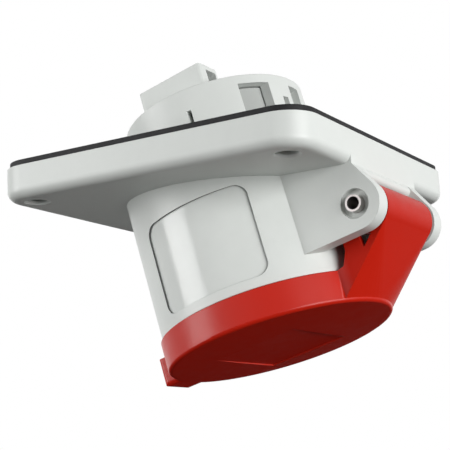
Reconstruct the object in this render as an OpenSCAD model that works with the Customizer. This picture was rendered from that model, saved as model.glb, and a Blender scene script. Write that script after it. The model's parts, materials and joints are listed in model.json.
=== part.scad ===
// Inclined panel socket, four poles, with a hinged lid that a spring closes.
//
// The origin is the centre of the flange's back plane. +Z points behind the panel. The mouth of the
// socket faces -Z and leans towards -Y by the tilt. The barrel frame is the frame turned with the
// barrel: its z axis is the barrel's own axis through the origin, and its -y side is the hinge side.

/* [Flange] */
// Side of the square flange
flange_w = 85; // [82:0.5:100]
// Thickness of the flange
flange_t = 8; // [7:0.5:10]
// Radius of the flange's corners
corner_r = 8; // [5:0.5:12]
// Rounding of the flange's front edge
front_round = 2.5; // [1:0.25:3.5]
// From the flange's edge to the middle of a panel screw hole
hole_inset = 7.5; // [7:0.25:8.5]
// Diameter of the panel screw holes
hole_d = 5.5; // [4.5:0.25:6.5]
// Thickness of the gasket
gasket_t = 1.5; // [1:0.25:3]

/* [Barrel] */
// Lean of the barrel towards the hinge, in degrees
tilt = 15; // [10:1:18]
// Outside diameter of the barrel
barrel_d = 56; // [55:0.5:58]
// Wall of the barrel round the collar of the plug
barrel_wall = 2.5; // [2:0.1:3]
// From the flange's back plane to the mouth, along the barrel
mouth_depth = 40.8; // [39:0.2:46]
// Thickness of the seat inside the barrel that the insert clamps on
seat_t = 2; // [1.6:0.2:3]
// Height along the barrel of the label field on its side
field_h = 22.9; // [16:0.1:23]
// Width across the label field
field_w = 28.8; // [20:0.2:32]
// Depth of the label field
field_depth = 0.5; // [0.3:0.1:0.8]
// Width of the keyway in the bore
key_w = 7.4; // [5:0.2:9]

/* [Hinge] */
// From the barrel's surface out to the pin's axis
hinge_reach = 8.6; // [8.2:0.1:10]
// From the flange's back plane to the pin's axis, along the barrel
hinge_depth = 27.9; // [27:0.1:30]
// Diameter of the tubular pin
pin_d = 4; // [3:0.25:4.5]
// Wall of the tubular pin
pin_wall = 0.5; // [0.4:0.1:1]
// Length by which each end of the pin stands out of its ear
pin_proud = 0.8; // [0.2:0.1:1.5]
// Radius of the round ends of the ears
ear_r = 6.2; // [6:0.1:6.8]
// Thickness of each ear
ear_t = 4.4; // [3.6:0.2:5]
// Width across both ears
ears_w = 36.8; // [34:0.4:38]
// Diameter of the recess round each pin end
ear_recess_d = 7; // [6:0.25:8]
// Depth of the recess round each pin end
ear_recess_depth = 1.4; // [0.8:0.1:2]

/* [Lid] */
// Height of the lid's rim, face included
lid_h = 7.7; // [7.4:0.1:10]
// Wall of the lid's rim
lid_wall = 1.2; // [1:0.1:1.6]
// Thickness of the lid's face
lid_face_t = 2.4; // [1.8:0.1:3]
// Amount by which the lid's rim stands out past the barrel
lid_proud = 0.6; // [0.2:0.1:1]
// Crown of the lid's face, at its middle
lid_crown = 0.35; // [0.2:0.05:0.6]
// Rounding of the edge of the lid's face
lid_round = 0.9; // [0.5:0.1:1.4]
// Radius of the strap's round over the pin
strap_r = 6; // [5.6:0.1:6.2]
// Thickness of the strap
strap_t = 1.8; // [1.4:0.1:2]
// Width of the finger tab
tab_w = 10.8; // [8:0.2:16]
// Reach of the finger tab beyond the rim
tab_reach = 3.8; // [2:0.2:6]

/* [Contacts] */
// Radius of the circle that the contacts stand on
pole_r = 13; // [12.4:0.1:13.4]
// Bore of the phase sleeves
phase_bore = 5.1; // [5:0.02:5.2]
// Bore of the earth sleeve
earth_bore = 7.1; // [7:0.02:7.2]
// Wall of a sleeve
sleeve_wall = 1; // [0.8:0.1:1.2]
// Diameter of the boss that holds the contacts
boss_d = 40; // [39.6:0.2:40.4]
// From the mouth back to the face of the boss
boss_set_back = 4; // [2:0.2:6]

/* [Terminal end] */
// Diameter of the terminal cover
cover_d = 47.2; // [46.4:0.2:48]
// Wall of the terminal cover
cover_wall = 2.2; // [1.6:0.1:2.6]
// From the flange's back plane to the end of the terminal cover, along the barrel
cover_len = 15.6; // [14.5:0.2:20]
// Height of the raised wire box on the cover
box_h = 7.4; // [6:0.2:10]
// Width of the raised wire box
box_w = 9; // [8:0.2:10]
// Length of the raised wire box
box_l = 18.9; // [16:0.1:20]
// Size of the terminal screws
clamp_screw_d = 4; // [3:0.5:4]
// Size of the two screws that hold the insert
insert_screw_d = 3; // [2.5:0.25:3.5]

/* [Hidden] */
$fn = 96;
eps = 0.01;
over = 1; // run-out of a cut past a face

// Clearances
fit = 0.3; // between pieces that slide together
seal_gap = 0.1; // between the closed lid's seal and the barrel
lid_gap = 0.25; // between the closed lid's rim and the barrel's shoulder
side_gap = 0.9; // between the strap and each ear
pin_play = 0.05; // radial, between the pin and the strap
thread_play = 0.02; // radial, between a screw and its tapped hole

hole_pitch = flange_w - 2 * hole_inset;

// Radii of the main round pieces
barrel_r = barrel_d / 2;
bore_r = barrel_r - barrel_wall;
lid_r = barrel_r + lid_proud;
lid_in_r = lid_r - lid_wall;
neck_r = (lid_in_r + bore_r) / 2 + 0.2; // the mouth's collar, inside the lid's rim
boss_r = boss_d / 2;
cover_r = cover_d / 2;
cover_in_r = cover_r - cover_wall;
block_r = cover_in_r - fit;
passage_r = cover_r + 2 * fit;

// Depths along the barrel, in the barrel frame
mouth_z = -mouth_depth;
shoulder_z = mouth_z + 1.9; // where the mouth's collar starts
rim_z = shoulder_z - lid_gap; // edge of the closed lid's rim
face_z = rim_z - lid_h; // outside of the lid's face
face_in_z = face_z + lid_face_t;
seat_back_z = -bore_r * tan(tilt) - 0.2; // stays in front of the flange's back plane
seat_front_z = seat_back_z - seat_t;
disc_t = 2.5; // flange of the contact carrier
boss_z = mouth_z + boss_set_back;
block_end_z = cover_len - cover_wall - fit;
field_z = shoulder_z + 2.4 + field_h / 2; // middle of the label field
key_len = 22; // keyway, from the mouth

// Hinge
hinge = [-(barrel_r + hinge_reach), -hinge_depth]; // pin axis, [y, z] in the barrel frame
ear_x = ears_w / 2; // outer face of an ear
ear_in_x = ear_x - ear_t;
strap_x = ear_in_x - side_gap; // outer face of a strap flank
flank_t = 1.8;
knuckle_t = 3; // the strap's end discs, which turn on the pin
lip_r = 1.55; // round lip of the flange between the ears
spring_wire = 0.9;
spring_turns = 8;
spring_pitch = 1.5;
spring_r = strap_r - strap_t - spring_wire / 2 - 0.25; // centre line of the coil
spring_leg = 7.4;

// Poles: [angle seen from the mouth's frame, sleeve bore, direction of the terminal screw]
poles = [
    [180, phase_bore, -1],
    [-90, phase_bore, -1],
    [0, phase_bore, -1],
    [90, earth_bore, 1],
];
entry_play = 0.35; // radial, between a plug pin and the hole in the boss
entry_wall = 2.4; // face plate of the boss, in front of the sleeves
ring_wire = 0.8; // section of a ring spring
ring_len = 5;
collar_w = 1.1; // a sleeve's collar stands out this far past its pocket
slot_len = 15; // slot of a sleeve
terminal_len = 16; // wire end of a contact, behind the seat
terminal_wire_d = 4.2;
clamp_z = 2.5; // height of the terminal screws, in the barrel frame
clamp_len = 7;
insert_screw_r = block_r - insert_screw_d - 0.9; // circle of the two insert screws
insert_head_z = 8;

// Openings of the terminal cover
window_w = 4.7; // over the screw of the middle pole
wide_w = 7.1; // over the screws of the outer poles
window_top = cover_len - 2.3;
snap_x = 5; // middle of the narrow slots that snap over the block
snap_w = 1.9;
snap_top = 9.7;
side_slot_y = 5.2;
side_slot_w = 1.2;
side_slot_top = 9.9;
box_slot_w = 4.5; // wire opening of the raised box
box_slot_in = 0.2; // from the pole to the middle of that opening, towards the cover's middle
box_round = 1; // upright edges of the box
box_out = 0.5; // from the pole to the middle of the box, away from the cover's middle
box_back = 0.5; // from the pole to the middle of the box, away from the hinge

GREY = [0.83, 0.84, 0.82];
RED = [0.74, 0.16, 0.12];
BLACK = [0.16, 0.16, 0.17];
STEEL = [0.72, 0.72, 0.74];
BRASS = [0.78, 0.66, 0.38];

// ---- Geometry helpers ----

// A point [y, z] of the barrel frame, in the part's own frame
function to_part(p) = [p.x * cos(tilt) + p.y * sin(tilt), -p.x * sin(tilt) + p.y * cos(tilt)];

// Where a line from point p touches the circle of radius r about c
function touch(p, c, r, side) =
    let (a = atan2(p.y - c.y, p.x - c.x) + side * acos(r / norm(p - c)))
    c + r * [cos(a), sin(a)];

// Turns its children with the barrel
module in_barrel() rotate([-tilt, 0, 0]) children();

// A solid cylinder between two heights
module rod(r, z0, z1) translate([0, 0, z0]) cylinder(h = z1 - z0, r = r);

// Extrudes a [y, z] outline along X, from x0 to x1
module along_x(x0, x1) translate([x0, 0, 0]) rotate([90, 0, 90]) linear_extrude(x1 - x0) children();

// A rectangle with round corners, centred
module soft_rect(w, h, r) {
    square([w - 2 * r, h], center = true);
    square([w, h - 2 * r], center = true);
    for (sx = [-1, 1], sy = [-1, 1])
        translate([sx * (w / 2 - r), sy * (h / 2 - r)]) circle(r);
}

// Repeats its children at the four corners of a square
module at_corners(pitch) {
    for (sx = [-1, 1], sy = [-1, 1])
        translate([sx * pitch / 2, sy * pitch / 2, 0]) children();
}

// Puts its children on the circle of the contacts
module at_pole(i) translate([pole_r * cos(poles[i][0]), pole_r * sin(poles[i][0]), 0]) children();

// ---- Housing ----

// Section of the flange with its rounded front edges, from -w/2 to w/2
module flange_section(w) {
    translate([-w / 2, -flange_t + front_round]) square([w, flange_t - front_round]);
    translate([-w / 2 + front_round, -flange_t]) square([w - 2 * front_round, flange_t]);
    for (s = [-1, 1])
        translate([s * (w / 2 - front_round), -flange_t + front_round]) circle(front_round);
}

module flange_plate() {
    straight = flange_w / 2 - corner_r;
    along_x(-straight, straight) flange_section(flange_w);
    rotate([0, 0, 90]) along_x(-straight, straight) flange_section(flange_w);
    at_corners(2 * straight) rotate_extrude() {
        translate([0, -flange_t + front_round]) square([corner_r, flange_t - front_round]);
        translate([0, -flange_t]) square([corner_r - front_round, flange_t]);
        translate([corner_r - front_round, -flange_t + front_round]) intersection() {
            circle(front_round);
            translate([-(corner_r - front_round), -front_round]) square([corner_r, 2 * front_round]);
        }
    }
}

// Outline of an ear: from the flange's edge, over the pin, back to the barrel
module ear_outline() {
    pin = to_part(hinge);
    edge = [-flange_w / 2, -flange_t];
    root_y = -sqrt(pow(barrel_r, 2) - pow(ear_x, 2)) + 2;
    polygon([
        [edge.x, -flange_t + front_round + 0.4],
        edge,
        touch(edge, pin, ear_r, 1),
        pin,
        to_part([hinge.x, hinge.y - ear_r]),
        to_part([root_y, hinge.y - ear_r]),
        [root_y, -flange_t / 2],
    ]);
    translate(pin) circle(ear_r);
}

// The flange's round lip between the ears, over the strap
module hinge_lip() {
    lip_y = -flange_w / 2 + lip_r - 0.45;
    along_x(-ear_in_x - eps, ear_in_x + eps) {
        translate([lip_y, -flange_t - 1.2]) circle(lip_r);
        translate([-flange_w / 2, -flange_t - 0.4]) square([lip_r, flange_t / 2]);
    }
}

// Everything that is cut from the housing in the barrel frame
module housing_cuts() {
    rod(bore_r, mouth_z - over, seat_front_z);
    rod(passage_r, seat_back_z, cover_len + over);
    rod(pole_r + 1.5, seat_front_z - over, seat_back_z + over);
    for (i = [0:3]) at_pole(i) rod(collar_r(i) + fit, seat_front_z - over, seat_back_z + over);
    at_insert_screws() rod(insert_screw_d / 2 + fit, seat_front_z - over, seat_back_z + over);
    key_depth = (neck_r - bore_r) * 0.6;
    translate([-key_w / 2, 0, mouth_z - over]) cube([key_w, bore_r + key_depth, key_len + over]);
    label_field();
}

// Shallow rounded field on the side of the barrel
module label_field() {
    difference() {
        intersection() {
            rod(barrel_r + over, field_z - field_h, field_z + field_h);
            translate([0, 0, field_z]) along_x(-barrel_d, 0) soft_rect(field_w, field_h, 3);
        }
        rod(barrel_r - field_depth, field_z - field_h - over, field_z + field_h + over);
    }
}

module housing() color(GREY) {
    pin = to_part(hinge);
    difference() {
        union() {
            flange_plate();
            intersection() {
                in_barrel() {
                    rod(barrel_r, shoulder_z, flange_w / 2);
                    rod(neck_r, mouth_z, shoulder_z + over);
                }
                translate([-flange_w / 2, -flange_w / 2, -2 * mouth_depth])
                    cube([flange_w, flange_w, 2 * mouth_depth - flange_t / 2]);
            }
            for (s = [-1, 1]) along_x(s * ear_in_x - (s < 0 ? ear_t : 0), s * ear_in_x + (s < 0 ? 0 : ear_t))
                ear_outline();
            hinge_lip();
        }
        in_barrel() housing_cuts();
        at_corners(hole_pitch) {
            rod(hole_d / 2, -flange_t - over, over);
            translate([0, 0, -flange_t]) cylinder(h = 0.5, r1 = hole_d / 2 + 0.5, r2 = hole_d / 2);
        }
        along_x(-ear_x - over, ear_x + over) translate(pin) circle(d = pin_d);
        for (s = [-1, 1]) along_x(s * ear_x - ear_recess_depth, s * ear_x + ear_recess_depth)
            translate(pin) circle(d = ear_recess_d);
    }
}

module flange_gasket() color(BLACK) {
    inset = 0.7;
    difference() {
        linear_extrude(gasket_t) soft_rect(flange_w - 2 * inset, flange_w - 2 * inset, corner_r - inset);
        rod(passage_r / cos(tilt) + over, -over, gasket_t + over);
        at_corners(hole_pitch) rod(hole_d / 2 + 0.25, -over, gasket_t + over);
    }
}

// ---- Insert ----

function sleeve_r(i) = poles[i][1] / 2 + sleeve_wall;
function pocket_r(i) = sleeve_r(i) + ring_wire + 0.25;
function collar_r(i) = pocket_r(i) + collar_w;
plate_back_z = boss_z + entry_wall;
sleeve_z = plate_back_z + 0.3; // front end of the sleeves

module at_insert_screws() {
    for (a = [45, 225]) rotate([0, 0, a]) translate([insert_screw_r, 0, 0]) children();
}

// Face of the boss, with a funnel for each pin
module contact_plate() color(GREY) in_barrel() difference() {
    rod(boss_r, boss_z, plate_back_z);
    for (i = [0:3]) at_pole(i) {
        entry_r = poles[i][1] / 2 + entry_play;
        rod(entry_r, boss_z - over, plate_back_z + over);
        translate([0, 0, boss_z]) cylinder(h = 0.8, r1 = entry_r + 0.8, r2 = entry_r);
    }
}

// Boss behind the plate, with a pocket for each sleeve
module contact_carrier() color(GREY) in_barrel() difference() {
    union() {
        rod(boss_r, plate_back_z, seat_front_z);
        rod(bore_r - fit, seat_front_z - disc_t, seat_front_z);
    }
    for (i = [0:3]) at_pole(i) rod(pocket_r(i), plate_back_z - over, seat_front_z + over);
    at_insert_screws() rod(insert_screw_d / 2, seat_front_z - 8, seat_front_z + over);
}

// One sleeve contact: slotted sleeve, collar between carrier and block, and wire end
module contact(i) color(BRASS) in_barrel() at_pole(i) {
    r = sleeve_r(i);
    wire_end = seat_back_z + terminal_len;
    difference() {
        union() {
            rod(r, sleeve_z, seat_back_z + over);
            rod(collar_r(i), seat_front_z, seat_back_z);
            rod(pocket_r(i) - fit, seat_back_z, wire_end);
        }
        rod(poles[i][1] / 2, sleeve_z - over, seat_back_z - over);
        translate([-0.35, -r - over, sleeve_z - over]) cube([0.7, 2 * r + 2 * over, slot_len + over]);
        rod(terminal_wire_d / 2, seat_back_z + 2, wire_end + over);
        translate([0, 0, clamp_z]) rotate([-poles[i][2] * 90, 0, 0])
            rod(clamp_screw_d / 2 + thread_play, 0, pocket_r(i) + over);
    }
}

// Open ring spring that closes the slotted end of a sleeve
module contact_ring(i) color(STEEL) in_barrel() at_pole(i) difference() {
    rod(sleeve_r(i) + ring_wire, sleeve_z + 1, sleeve_z + 1 + ring_len);
    rod(sleeve_r(i) + thread_play, sleeve_z, sleeve_z + 2 + ring_len);
    translate([0, -0.6, sleeve_z]) cube([pocket_r(i) + over, 1.2, ring_len + 2]);
}

// Terminal screw with a slotted end, square to the contact
module clamp_screw(i) color(STEEL) in_barrel() at_pole(i) translate([0, 0, clamp_z])
    rotate([-poles[i][2] * 90, 0, 0]) {
        tip = terminal_wire_d / 2 - 0.6;
        difference() {
            rod(clamp_screw_d / 2, tip, tip + clamp_len);
            translate([-clamp_screw_d, -0.4, tip + clamp_len - 1]) cube([2 * clamp_screw_d, 0.8, 2]);
        }
    }

module terminal_block() color(GREY) in_barrel() difference() {
    union() {
        rod(block_r, seat_back_z, block_end_z);
        for (s = [-1, 1]) snap_nose(s);
    }
    for (i = [0:3]) at_pole(i) {
        rod(pocket_r(i) - fit / 2, seat_back_z - over, seat_back_z + terminal_len + 0.5);
        rod(terminal_wire_d / 2 + fit, seat_back_z, block_end_z + over);
        translate([0, 0, clamp_z]) rotate([-poles[i][2] * 90, 0, 0])
            rod(clamp_screw_d / 2 + fit, 0, cover_r);
    }
    at_insert_screws() {
        rod(insert_screw_d / 2 + fit, seat_back_z - over, block_end_z + over);
        rod(insert_screw_d + fit, insert_head_z, block_end_z + over);
    }
}

// Nose of the block that the cover's narrow slot snaps over
module snap_nose(s) {
    nose_w = snap_w - 0.5;
    reach = cover_in_r + cover_wall / 2;
    translate([s * snap_x - nose_w / 2, -sqrt(pow(reach, 2) - pow(snap_x, 2)), snap_top - 2.6])
        cube([nose_w, cover_wall + 2 * fit, 2.2]);
}

// Straight opening in the cover's wall on the hinge side, from x0 to x1, up to a height
module hinge_window(x0, x1, top) {
    base = seat_back_z + 5;
    translate([x0, -cover_r - over, base]) cube([x1 - x0, cover_r + over, top - base]);
}

// Slots square to the sides of the cover
module side_slots() {
    for (s = [-1, 1]) translate([s * cover_r, -side_slot_y, side_slot_top / 2])
        cube([cover_wall * 4, side_slot_w, side_slot_top], center = true);
}

// Windows and slots, through the cover's wall only
module cover_openings() difference() {
    union() {
        hinge_window(-window_w / 2, window_w / 2, window_top);
        for (s = [-1, 1]) {
            hinge_window(s * pole_r - wide_w / 2, s * pole_r + wide_w / 2, window_top);
            hinge_window(s * snap_x - snap_w / 2, s * snap_x + snap_w / 2, snap_top);
        }
        rotate([0, 0, 180]) hinge_window(-window_w / 2, window_w / 2, window_top);
        side_slots();
    }
    rod(cover_in_r - eps, -2 * cover_len, 2 * cover_len);
}

// Raised box over the first pole, open towards the hinge so that its wire enters from the side
module wire_box() {
    translate([-pole_r - box_out, box_back, cover_len - cover_wall])
        linear_extrude(box_h + cover_wall) soft_rect(box_w, box_l, box_round);
}

module wire_box_cut() {
    translate([-pole_r + box_slot_in - box_slot_w / 2, box_back - box_l / 2 - over, cover_len])
        cube([box_slot_w, box_l - 2 + over, box_h - 1.2]);
}

module terminal_cover() color(GREY) in_barrel() difference() {
    union() {
        difference() {
            rod(cover_r, seat_back_z, cover_len);
            rod(cover_in_r, seat_back_z - over, cover_len - cover_wall);
        }
        wire_box();
    }
    cover_openings();
    wire_box_cut();
    for (i = [0:3]) at_pole(i) {
        rod(terminal_wire_d / 2 + 2 * fit, cover_len - cover_wall - over, cover_len + eps);
        if (i > 0) translate([0, 0, cover_len - 1.5])
            cylinder(h = 1.5 + eps, r1 = terminal_wire_d / 2 + 2 * fit, r2 = terminal_wire_d / 2 + 1.6);
    }
}

// Two pan-head screws from the back of the block into the carrier
module insert_screws() color(STEEL) in_barrel() at_insert_screws() {
    difference() {
        rod(insert_screw_d * 0.95, insert_head_z, insert_head_z + 2.2);
        translate([-insert_screw_d, -0.4, insert_head_z + 1.2]) cube([2 * insert_screw_d, 0.8, 2]);
    }
    rod(insert_screw_d / 2 - thread_play, seat_front_z - 7, insert_head_z);
}

// ---- Hinge and lid ----

module hinge_pin() color(STEEL) along_x(-ear_x - pin_proud, ear_x + pin_proud)
    translate(to_part(hinge)) difference() {
        circle(d = pin_d);
        circle(d = pin_d - 2 * pin_wall);
    }

// A round wire along a path, as one closed mesh; the path never runs along Y
module wire(path, d, sides = 8) {
    last = len(path) - 1;
    rings = [for (i = [0:last])
        let (
            t = path[min(i + 1, last)] - path[max(i - 1, 0)],
            side = cross(t, [1, 0, 0]) / norm(cross(t, [1, 0, 0])),
            up = cross(side, t) / norm(cross(side, t))
        )
        for (k = [0:sides - 1]) path[i] + d / 2 * (side * cos(k * 360 / sides) + up * sin(k * 360 / sides))];
    ends = [[for (k = [0:sides - 1]) sides - 1 - k], [for (k = [0:sides - 1]) last * sides + k]];
    walls = [for (i = [0:last - 1], k = [0:sides - 1])
        [i * sides + k, i * sides + (k + 1) % sides, (i + 1) * sides + (k + 1) % sides, (i + 1) * sides + k]];
    polyhedron(rings, concat(ends, walls));
}

// Torsion spring round the pin: one leg bears on the barrel, the other on the lid's rim
module lid_spring() color(STEEL) in_barrel() {
    half = spring_turns * spring_pitch / 2;
    rest = spring_wire / 2 + 0.25;
    barrel_point = [-sqrt(pow(barrel_r, 2) - pow(half, 2)) - rest, hinge.y + 8.4];
    lid_point = [-sqrt(pow(lid_r, 2) - pow(half, 2)) - rest, rim_z - 1];
    on = touch(barrel_point, hinge, spring_r, 1) - hinge;
    off = touch(lid_point, hinge, spring_r, -1) - hinge;
    a0 = atan2(on.y, on.x);
    a1 = atan2(off.y, off.x) + 360 * spring_turns;
    steps = spring_turns * 16;
    coil = [for (i = [0:steps])
        let (a = a0 + (a1 - a0) * i / steps)
        [-half + 2 * half * i / steps, hinge.x + spring_r * cos(a), hinge.y + spring_r * sin(a)]];
    wire(concat(
        [[-half, barrel_point.x, barrel_point.y]],
        coil,
        [[half, lid_point.x, lid_point.y]]
    ), spring_wire);
}

// Strap, in the [y, z] plane of the barrel frame
foot = [-sqrt(pow(lid_r, 2) - pow(strap_x, 2)), face_z + lid_round]; // end of its edge on the rim
top = touch(foot, hinge, strap_r, -1); // where its outer face meets the round over the pin
outward = (top - hinge) / strap_r;

// The strap's wall, from the rim's circle up to a straight edge at the round over the pin
module strap_wall() hull() {
    intersection() {
        rod(lid_r, foot.y, foot.y + 0.6);
        translate([-strap_x, -lid_r - over, foot.y - over]) cube([2 * strap_x, lid_r + over + foot.x + 0.8 * strap_t, 3]);
    }
    along_x(-strap_x, strap_x) translate(top - strap_t / 2 * outward) circle(strap_t / 2, $fn = 32);
}

// The part of the strap's round that wraps the pin
module strap_wrap() {
    wide = 4 * strap_r;
    difference() {
        translate(hinge) circle(strap_r);
        translate(hinge) circle(strap_r - strap_t);
        polygon([
            hinge,
            hinge + wide * [cos(117), sin(117)],
            hinge + [wide, wide],
            hinge + [wide, -wide],
            hinge + wide * outward,
        ]);
    }
}

// One flank of the strap, with the notch below the pin
module strap_flank() {
    difference() {
        polygon([
            foot,
            [foot.x, rim_z],
            [foot.x - 1.8, rim_z + 0.4],
            [-barrel_r - 0.8, rim_z + 3.6],
            [-barrel_r - 0.8, hinge.y - 1],
            hinge,
            top,
        ]);
        polygon([hinge + [3.8, -4.5], hinge + [3.05, -9.8], hinge + [-2.2, -4.5]]);
    }
}

// Finger tab opposite the hinge, with round edges at its sides and along the lid's face
module finger_tab() {
    reach = lid_r + tab_reach;
    side_round = 1.2;
    intersection() {
        translate([0, reach - tab_reach, face_z]) linear_extrude(lid_h - 0.4) soft_rect(tab_w, 2 * tab_reach, side_round);
        translate([0, reach + over, face_z + lid_h]) rotate([90, 0, 0]) linear_extrude(2 * tab_reach + 2 * over)
            soft_rect(tab_w, 2 * lid_h, side_round);
        along_x(-tab_w, tab_w) {
            translate([0, face_z + lid_round]) square([reach, lid_h]);
            translate([0, face_z]) square([reach - lid_round, lid_h]);
            translate([reach - lid_round, face_z + lid_round]) circle(lid_round);
        }
    }
}

// Flat recess in the crowned face, level with it at its low x end
recess_x = [-10.4, 17.4];
recess_y = [-9, 12.7];
recess_lift = 0.15; // low x end, below the top of the crown
recess_depth = 0.2; // high x end, below the edge of the face

// Disc of the lid's face, crowned outside
module lid_face() rotate_extrude() intersection() {
    flat_r = lid_r - lid_round;
    crown_r = (pow(flat_r, 2) / lid_crown + lid_crown) / 2;
    translate([0, face_z - lid_crown]) square([flat_r, lid_face_t + lid_crown]);
    translate([0, face_z - lid_crown + crown_r]) circle(crown_r, $fn = 4000);
}

module lid_recess() translate([0, recess_y[1], 0]) rotate([90, 0, 0]) linear_extrude(recess_y[1] - recess_y[0])
    polygon([
        [recess_x[0], face_z - lid_crown + recess_lift],
        [recess_x[1], face_z + recess_depth],
        [recess_x[1], face_z - lid_crown - over],
        [recess_x[0], face_z - lid_crown - over],
    ]);

seal_t = 2.4;
seal_back_z = mouth_z - seal_gap - seal_t;
seal_in_r = bore_r - 1.1;

module lid() color(RED) in_barrel() {
    difference() {
        union() {
            rod(lid_r, face_z + lid_round, rim_z);
            lid_face();
            rotate_extrude() translate([lid_r - lid_round, face_z + lid_round]) circle(lid_round);
            finger_tab();
        }
        rod(lid_in_r, seal_back_z, rim_z + over);
        rod(seal_in_r - 1.4, face_in_z, seal_back_z + over);
        lid_recess();
    }
    difference() {
        rod(seal_in_r - fit / 2, seal_back_z - eps, seal_back_z + 1.3);
        rod(seal_in_r - 1.4, seal_back_z - over, seal_back_z + 2);
    }
    translate([-6, -seal_in_r + 2.2, face_in_z - eps]) cube([12, 2, 3.6]);
    strap();
}

module strap() difference() {
    union() {
        strap_wall();
        along_x(-strap_x, strap_x) strap_wrap();
        for (s = [-1, 1]) {
            x0 = s < 0 ? -strap_x : strap_x - flank_t;
            along_x(x0, x0 + flank_t) strap_flank();
            k0 = s < 0 ? -strap_x : strap_x - knuckle_t;
            along_x(k0, k0 + knuckle_t) translate(hinge) circle(strap_r);
        }
    }
    along_x(-strap_x - over, strap_x + over) translate(hinge) circle(r = pin_d / 2 + pin_play);
    rod(lid_in_r, seal_back_z, rim_z + over);
}

module lid_seal() color(BLACK) in_barrel() difference() {
    rod(lid_in_r - fit / 2, seal_back_z, seal_back_z + seal_t);
    rod(seal_in_r, seal_back_z - over, seal_back_z + seal_t + over);
}

housing();
flange_gasket();
contact_plate();
contact_carrier();
terminal_block();
terminal_cover();
contact(0);  // contact_l1
contact(1);  // contact_l2
contact(2);  // contact_l3
contact(3);  // contact_earth
contact_ring(0);  // contact_ring_l1
contact_ring(1);  // contact_ring_l2
contact_ring(2);  // contact_ring_l3
contact_ring(3);  // contact_ring_earth
clamp_screw(0);  // clamp_screw_l1
clamp_screw(1);  // clamp_screw_l2
clamp_screw(2);  // clamp_screw_l3
clamp_screw(3);  // clamp_screw_earth
insert_screws();
hinge_pin();
lid_spring();
lid();
lid_seal();
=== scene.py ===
import json
import math

import bmesh
import bpy
from mathutils import Matrix, Vector


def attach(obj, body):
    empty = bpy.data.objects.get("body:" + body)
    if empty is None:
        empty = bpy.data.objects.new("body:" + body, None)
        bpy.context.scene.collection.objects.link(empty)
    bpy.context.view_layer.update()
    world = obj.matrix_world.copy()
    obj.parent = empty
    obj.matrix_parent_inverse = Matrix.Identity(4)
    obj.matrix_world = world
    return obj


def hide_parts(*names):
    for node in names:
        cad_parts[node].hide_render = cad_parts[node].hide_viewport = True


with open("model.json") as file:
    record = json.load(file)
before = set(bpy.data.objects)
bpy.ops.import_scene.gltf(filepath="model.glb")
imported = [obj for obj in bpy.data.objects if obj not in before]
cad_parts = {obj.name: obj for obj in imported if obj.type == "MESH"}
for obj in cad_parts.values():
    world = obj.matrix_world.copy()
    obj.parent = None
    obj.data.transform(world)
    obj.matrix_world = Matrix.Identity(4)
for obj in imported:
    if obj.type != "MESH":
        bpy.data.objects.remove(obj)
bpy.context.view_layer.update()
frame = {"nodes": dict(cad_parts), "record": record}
nodes = frame["nodes"]

TILT = math.radians(15)
# The barrel's frame in the part's frame: columns are its x, y and z axes
BARREL = Matrix(((1, 0, 0), (0, math.cos(TILT), math.sin(TILT)), (0, -math.sin(TILT), math.cos(TILT))))
# The label field on the side of the barrel: width, height, and its middle along the barrel
LABEL_W, LABEL_H, LABEL_MID = 0.0288, 0.0229, -0.02505
LABEL_SIDE = -0.018  # the field lies on this side of x
# Radii between which the field's floor lies, each as the outer and inner end of a soft edge
FLOOR_OVER, FLOOR_UNDER = (0.02785, 0.02775), (0.02735, 0.02745)
STEP_R, STEP_REACH, MARGIN = 0.0277, 0.0004, 0.0003  # the step round the field

# The insert grey is the housing's grey painted darker, as painted shade for the pieces seen in the shadow inside
# the windows
LIGHT_GREY, INSERT_GREY_SHADED, LID_RED = (0.66, 0.685, 0.66), (0.40, 0.415, 0.40), (0.49, 0.015, 0.006)


# ---- Node helpers ----

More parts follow.
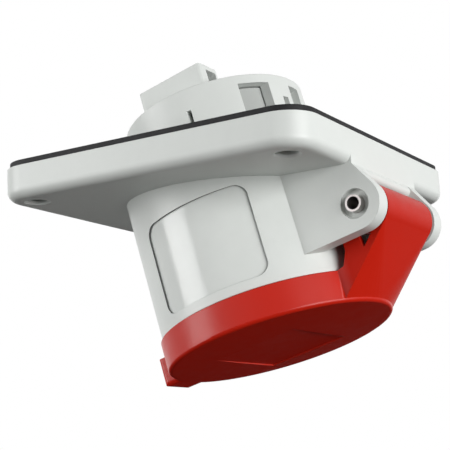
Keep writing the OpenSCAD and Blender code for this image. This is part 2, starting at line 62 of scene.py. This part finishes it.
class Graph:
    """Builds one material's node tree with short calls."""

    def __init__(self, name, colour, roughness, metallic=0.0):
        self.mat = bpy.data.materials.new(name)
        self.mat.use_nodes = True
        self.tree = self.mat.node_tree
        self.bsdf = next(n for n in self.tree.nodes if n.type == "BSDF_PRINCIPLED")
        self.bsdf.inputs["Base Color"].default_value = (*colour, 1)
        self.bsdf.inputs["Roughness"].default_value = roughness
        self.bsdf.inputs["Metallic"].default_value = metallic
        self.mat.diffuse_color = (*colour, 1)
        coords = self.add("ShaderNodeTexCoord")
        self.place, self.facing = coords.outputs["Object"], coords.outputs["Normal"]

    def add(self, kind, **props):
        n = self.tree.nodes.new(kind)
        for k, v in props.items():
            setattr(n, k, v)
        return n

    def join(self, a, b):
        self.tree.links.new(a, b)

    def put(self, value, socket):
        if isinstance(value, bpy.types.NodeSocket):
            self.join(value, socket)
        else:
            socket.default_value = value

    def math(self, op, a, b=0.0, c=0.0, clamp=False):
        n = self.add("ShaderNodeMath", operation=op, use_clamp=clamp)
        for v, s in zip((a, b, c), n.inputs):
            self.put(v, s)
        return n.outputs[0]

    def noise(self, scale, detail=3.0, rough=0.5, vector=None):
        n = self.add("ShaderNodeTexNoise")
        self.join(vector or self.place, n.inputs["Vector"])
        n.inputs["Scale"].default_value = scale
        n.inputs["Detail"].default_value = detail
        n.inputs["Roughness"].default_value = rough
        return n.outputs["Fac"]

    def remap(self, value, lo, hi, to_lo, to_hi):
        n = self.add("ShaderNodeMapRange")
        for v, s in zip((value, lo, hi, to_lo, to_hi), n.inputs):
            self.put(v, s)
        return n.outputs[0]

    def dot(self, vec, axis):
        n = self.add("ShaderNodeVectorMath", operation="DOT_PRODUCT")
        self.put(vec, n.inputs[0])
        n.inputs[1].default_value = axis
        return n.outputs["Value"]

    def mix(self, fac, a, b, blend="MIX"):
        n = self.add("ShaderNodeMix", data_type="RGBA", blend_type=blend)
        self.put(fac, n.inputs["Factor"])
        self.put((*a, 1) if isinstance(a, tuple) else a, n.inputs["A"])
        self.put((*b, 1) if isinstance(b, tuple) else b, n.inputs["B"])
        return n.outputs["Result"]

    def bump(self, height, distance, strength=1.0, normal=None):
        n = self.add("ShaderNodeBump")
        n.inputs["Distance"].default_value = distance
        n.inputs["Strength"].default_value = strength
        self.join(height, n.inputs["Height"])
        if normal:
            self.join(normal, n.inputs["Normal"])
        return n.outputs["Normal"]

    def bevel(self, radius, samples=6):
        n = self.add("ShaderNodeBevel", samples=samples)
        n.inputs["Radius"].default_value = radius
        return n.outputs["Normal"]

    def corners(self, radius, samples=6):
        """1 along edges and 0 on open faces."""
        soft = self.bevel(radius, samples)
        geo = self.add("ShaderNodeNewGeometry")
        n = self.add("ShaderNodeVectorMath", operation="DOT_PRODUCT")
        self.join(soft, n.inputs[0])
        self.join(geo.outputs["Normal"], n.inputs[1])
        return self.remap(n.outputs["Value"], 0.98, 0.80, 0.0, 1.0)

    def finish(self, colour=None, roughness=None, normal=None):
        if colour:
            self.join(colour, self.bsdf.inputs["Base Color"])
        if roughness:
            self.join(roughness, self.bsdf.inputs["Roughness"])
        if normal:
            self.join(normal, self.bsdf.inputs["Normal"])
        return self.mat


def plastic(name, colour, roughness, grain=0.00002, edge=0.00035, specular=0.5, edge_colour=None):
    """Moulded plastic: eroded-tool grain, faint flow and tone variation, a gloss that wears smoother on edges."""
    g = Graph(name, colour, roughness)
    g.bsdf.inputs["Specular IOR Level"].default_value = specular
    flow = g.noise(38.0, 4.0, 0.6)
    cloud = g.noise(260.0, 3.0, 0.55)
    fine = g.noise(5200.0, 2.0, 0.6)
    edges = g.corners(edge * 1.6)
    tone = g.remap(g.math("ADD", g.math("MULTIPLY", flow, 0.6), g.math("MULTIPLY", cloud, 0.4)), 0.3, 0.7, 0.0, 1.0)
    dark = tuple(c * 0.965 for c in colour)
    light = tuple(min(1.0, c * 1.02) for c in colour)
    base = g.mix(tone, dark, light)
    # The base colour is lighter along the edges
    base = g.mix(g.math("MULTIPLY", edges, 0.35), base, edge_colour or tuple(min(1.0, c * 1.12 + 0.02) for c in colour))
    rough = g.remap(cloud, 0.3, 0.7, roughness - 0.04, roughness + 0.04)
    rough = g.math("SUBTRACT", rough, g.math("MULTIPLY", edges, 0.08))
    normal = g.bump(fine, grain, 0.6, g.bevel(edge))
    return g, base, rough, normal


def grey_housing():
    """Housing plastic, with the polished floor of the label field and a line of painted shade round it."""
    g, base, rough, normal = plastic("grey_plastic_housing", LIGHT_GREY, 0.36, edge=0.00018, specular=0.35)
    # Distance from the barrel's own axis
    x = g.dot(g.place, (1, 0, 0))
    y = g.dot(g.place, tuple(BARREL.col[1]))
    r = g.math("SQRT", g.math("ADD", g.math("MULTIPLY", x, x), g.math("MULTIPLY", y, y)))
    inside = g.math("MULTIPLY", g.remap(r, *FLOOR_OVER, 0.0, 1.0), g.remap(r, *FLOOR_UNDER, 0.0, 1.0))
    side = g.math("LESS_THAN", x, LABEL_SIDE)
    field = g.math("MULTIPLY", inside, side)
    # Painted shade in the step round the field, whose faces don't look along the barrel's radius
    outward = g.math("ADD", g.math("MULTIPLY", x, g.dot(g.facing, (1, 0, 0))),
                     g.math("MULTIPLY", y, g.dot(g.facing, tuple(BARREL.col[1]))))
    step = g.math("LESS_THAN", g.math("DIVIDE", outward, r), 0.65)
    z = g.dot(g.place, tuple(BARREL.col[2]))
    for limit in (g.math("COMPARE", r, STEP_R, STEP_REACH),
                  g.math("COMPARE", y, 0.0, LABEL_W / 2 + MARGIN),
                  g.math("COMPARE", z, LABEL_MID, LABEL_H / 2 + MARGIN), side):
        step = g.math("MULTIPLY", step, limit)
    # Painted shade: the step's walls are darkened towards black to stand in for the shadow in the groove round the
    # field
    base = g.mix(g.math("MULTIPLY", step, 0.75), base, (0.08, 0.08, 0.08))
    n = g.add("ShaderNodeMix", data_type="FLOAT")
    g.join(field, n.inputs["Factor"])
    g.join(rough, n.inputs["A"])
    n.inputs["B"].default_value = 0.05
    return g.finish(base, n.outputs["Result"], normal)


def simple_plastic(name, colour, roughness, **kw):
    g, base, rough, normal = plastic(name, colour, roughness, **kw)
    return g.finish(base, rough, normal)


def red_lid():
    """Lid plastic: more gloss on the rim than on the face and the strap, fitted to the photograph."""
    g, base, rough, normal = plastic("red_plastic_lid", LID_RED, 0.32, edge=0.00022, edge_colour=(0.50, 0.05, 0.03))
    axial = g.math("ABSOLUTE", g.dot(g.facing, tuple(BARREL.col[2])))
    side = g.remap(axial, 0.25, 0.75, 1.0, 0.0)
    y = g.dot(g.place, tuple(BARREL.col[1]))
    rim = g.math("MULTIPLY", side, g.remap(y, -0.0285, -0.0265, 0.0, 1.0))
    gloss = g.math("ADD", g.remap(side, 0.0, 1.0, 0.008, 0.048), g.math("MULTIPLY", rim, 0.2))
    g.join(gloss, g.bsdf.inputs["Specular IOR Level"])
    return g.finish(base, rough, normal)


def rubber():
    g = Graph("black_rubber", (0.010, 0.010, 0.011), 0.70)
    g.bsdf.inputs["Specular IOR Level"].default_value = 0.2
    dust = g.noise(420.0, 4.0, 0.65)
    fine = g.noise(3400.0, 3.0, 0.6)
    base = g.mix(g.remap(dust, 0.42, 0.72, 0.0, 0.5), (0.008, 0.008, 0.009), (0.020, 0.020, 0.021))
    rough = g.remap(fine, 0.3, 0.7, 0.54, 0.70)
    return g.finish(base, rough, g.bump(fine, 0.00004, 0.7, g.bevel(0.0002)))


def metal(name, colour, roughness, axis=(1, 0, 0), edge=0.0001, grain=0.000006):
    """Turned or drawn metal: fine lines round or along the piece, with slightly dulled patches."""
    g = Graph(name, colour, roughness, 1.0)
    mapping = g.add("ShaderNodeMapping")
    mapping.inputs["Scale"].default_value = tuple(1.0 if a else 0.04 for a in axis)
    g.join(g.place, mapping.inputs["Vector"])
    lines = g.noise(9000.0, 2.0, 0.5, mapping.outputs["Vector"])
    patches = g.noise(520.0, 3.0, 0.6)
    base = g.mix(g.remap(patches, 0.35, 0.7, 0.0, 1.0), colour, tuple(c * 0.82 for c in colour))
    rough = g.math("ADD", g.remap(lines, 0.3, 0.7, roughness - 0.05, roughness + 0.06),
                   g.remap(patches, 0.4, 0.7, 0.0, 0.06))
    return g.finish(base, rough, g.bump(lines, grain, 0.8, g.bevel(edge)))


GREY = grey_housing()
# Painted shade: the terminal block and contact pieces get a darker grey that stands for the shade inside the
# windows
GREY_INSERT_SHADED = simple_plastic("grey_plastic_insert_shaded", INSERT_GREY_SHADED, 0.42, edge=0.00022, specular=0.3)
GREY_COVER = simple_plastic("grey_plastic_cover", LIGHT_GREY, 0.38, edge=0.00022, specular=0.35)
RED = red_lid()
RUBBER = rubber()
BRASS = metal("nickel_brass", (0.66, 0.60, 0.50), 0.24, (0, 0, 1))
WIRE = metal("spring_wire", (0.55, 0.55, 0.57), 0.30)
STEEL = metal("plated_steel", (0.72, 0.69, 0.68), 0.24)
PIN = metal("polished_pin", (0.50, 0.47, 0.46), 0.34, edge=0.00004, grain=0.000001)

looks = {
    "housing": GREY, "terminal_cover": GREY_COVER,
    "contact_plate": GREY_INSERT_SHADED, "contact_carrier": GREY_INSERT_SHADED, "terminal_block": GREY_INSERT_SHADED,
    "flange_gasket": RUBBER, "lid_seal": RUBBER,
    "lid": RED, "lid_spring": WIRE, "hinge_pin": PIN, "insert_screws": STEEL,
}
for name, obj in nodes.items():
    other = WIRE if name.startswith("contact_ring") else BRASS if name.startswith("contact") else STEEL
    obj.data.materials.clear()
    obj.data.materials.append(looks.get(name, other))


# ---- Lid spring ----

HINGE = Vector(frame["record"]["behaviour"]["joints"][0]["pos_m"])
SPRING = nodes["lid_spring"].data
# Outside of the coil, measured in its middle, clear of both legs
COIL_R = max(math.hypot(v.co.y - HINGE.y, v.co.z - HINGE.z)
             for v in SPRING.vertices if abs(v.co.x) < 0.003)


def spring_part(name, body, is_leg):
    """Copies the leg that turns with the lid, or the rest of the spring, which stays on the barrel."""
    mesh = SPRING.copy()
    mesh.name = name
    bm = bmesh.new()
    bm.from_mesh(mesh)

    def on_leg(face):
        p = face.calc_center_median()
        return p.x > 0 and math.hypot(p.y - HINGE.y, p.z - HINGE.z) > 1.02 * COIL_R

    bmesh.ops.delete(bm, geom=[f for f in bm.faces if on_leg(f) != is_leg], context="FACES")
    bmesh.ops.holes_fill(bm, edges=[e for e in bm.edges if e.is_boundary])
    bm.to_mesh(mesh)
    bm.free()
    obj = bpy.data.objects.new(name, mesh)
    bpy.context.scene.collection.objects.link(obj)
    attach(obj, body)
    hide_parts("lid_spring")


spring_part("lid_spring_coil", "socket_body", False)
spring_part("lid_spring_leg", "lid", True)


# ---- Camera ----

def look_back(azimuth, elevation):
    a, e = math.radians(azimuth), math.radians(elevation)
    return Vector((math.sin(a) * math.cos(e), -math.cos(a) * math.cos(e), math.sin(e)))


AZ, EL, ROLL = -59.32, -11.20, -2.76  # degrees
STAND = Vector((-0.2725, -0.1592, -0.07605))
back = look_back(AZ, EL)
right = Vector((math.cos(math.radians(AZ)), math.sin(math.radians(AZ)), 0))
up = back.cross(right)
roll = math.radians(ROLL)
right, up = (math.cos(roll) * right + math.sin(roll) * up,
             -math.sin(roll) * right + math.cos(roll) * up)
cam = bpy.data.cameras.new("camera")
cam.sensor_width = 36
cam.lens = 100.872
cam.clip_start, cam.clip_end = 0.01, 20
cam_obj = bpy.data.objects.new("camera", cam)
cam_obj.matrix_world = Matrix.Translation(STAND) @ Matrix((right, up, back)).transposed().to_4x4()
bpy.context.scene.collection.objects.link(cam_obj)
bpy.context.scene.camera = cam_obj


# ---- Light ----

AIM = Vector((0, -0.01, -0.015))  # about the middle of the socket


def softbox(name, azimuth, elevation, distance, size, power):
    light = bpy.data.lights.new(name, "AREA")
    light.shape = "RECTANGLE"
    light.size, light.size_y = size
    light.energy = power
    light.spread = math.radians(95)
    obj = bpy.data.objects.new(name, light)
    away = look_back(azimuth, elevation)
    obj.location = AIM + away * distance
    obj.rotation_mode = "QUATERNION"
    obj.rotation_quaternion = away.to_track_quat("Z", "Y")
    bpy.context.scene.collection.objects.link(obj)


softbox("softbox_right", -14, 4, 1.05, (1.0, 0.55), 4.6)
softbox("softbox_left", -141, 6, 1.0, (0.48, 0.9), 2.6)
softbox("softbox_high", -108, 16, 1.0, (0.9, 0.9), 0.32)
softbox("softbox_back", 48, 8, 1.05, (0.6, 0.6), 0.1)
softbox("reflector_low", 75, -30, 1.0, (0.7, 0.7), 0.15)


# ---- Floor ----

FLOOR_Z, HALF = -1.4, 9.0
mesh = bpy.data.meshes.new("floor")
corners = [(-HALF, -HALF), (HALF, -HALF), (HALF, HALF), (-HALF, HALF)]
mesh.from_pydata([(x, y, FLOOR_Z) for x, y in corners], [], [(0, 1, 2, 3)])
floor = bpy.data.objects.new("floor", mesh)
bpy.context.scene.collection.objects.link(floor)
paint = bpy.data.materials.new("floor_paint")
paint.use_nodes = True
coat = next(n for n in paint.node_tree.nodes if n.type == "BSDF_PRINCIPLED")
coat.inputs["Base Color"].default_value = (0.8, 0.8, 0.79, 1)
coat.inputs["Roughness"].default_value = 0.9
coat.inputs["Specular IOR Level"].default_value = 0.1
mesh.materials.append(paint)

world = bpy.data.worlds.new("studio")
bpy.context.scene.world = world
world.use_nodes = True
wt = world.node_tree
wt.nodes.clear()
out = wt.nodes.new("ShaderNodeOutputWorld")
ambient = wt.nodes.new("ShaderNodeBackground")
ambient.inputs["Color"].default_value = (1, 1, 1, 1)
ambient.inputs["Strength"].default_value = 0.04
white = wt.nodes.new("ShaderNodeBackground")
white.inputs["Color"].default_value = (1, 1, 1, 1)
path = wt.nodes.new("ShaderNodeLightPath")
mix = wt.nodes.new("ShaderNodeMixShader")
seen = path.outputs["Is Camera Ray"]
for ray in ("Is Glossy Ray", "Is Transmission Ray"):
    either = wt.nodes.new("ShaderNodeMath")
    either.operation = "MAXIMUM"
    wt.links.new(seen, either.inputs[0])
    wt.links.new(path.outputs[ray], either.inputs[1])
    seen = either.outputs[0]
wt.links.new(seen, mix.inputs["Fac"])
wt.links.new(ambient.outputs[0], mix.inputs[1])
wt.links.new(white.outputs[0], mix.inputs[2])
wt.links.new(mix.outputs[0], out.inputs["Surface"])

scene = bpy.context.scene
scene.view_settings.view_transform = "Standard"
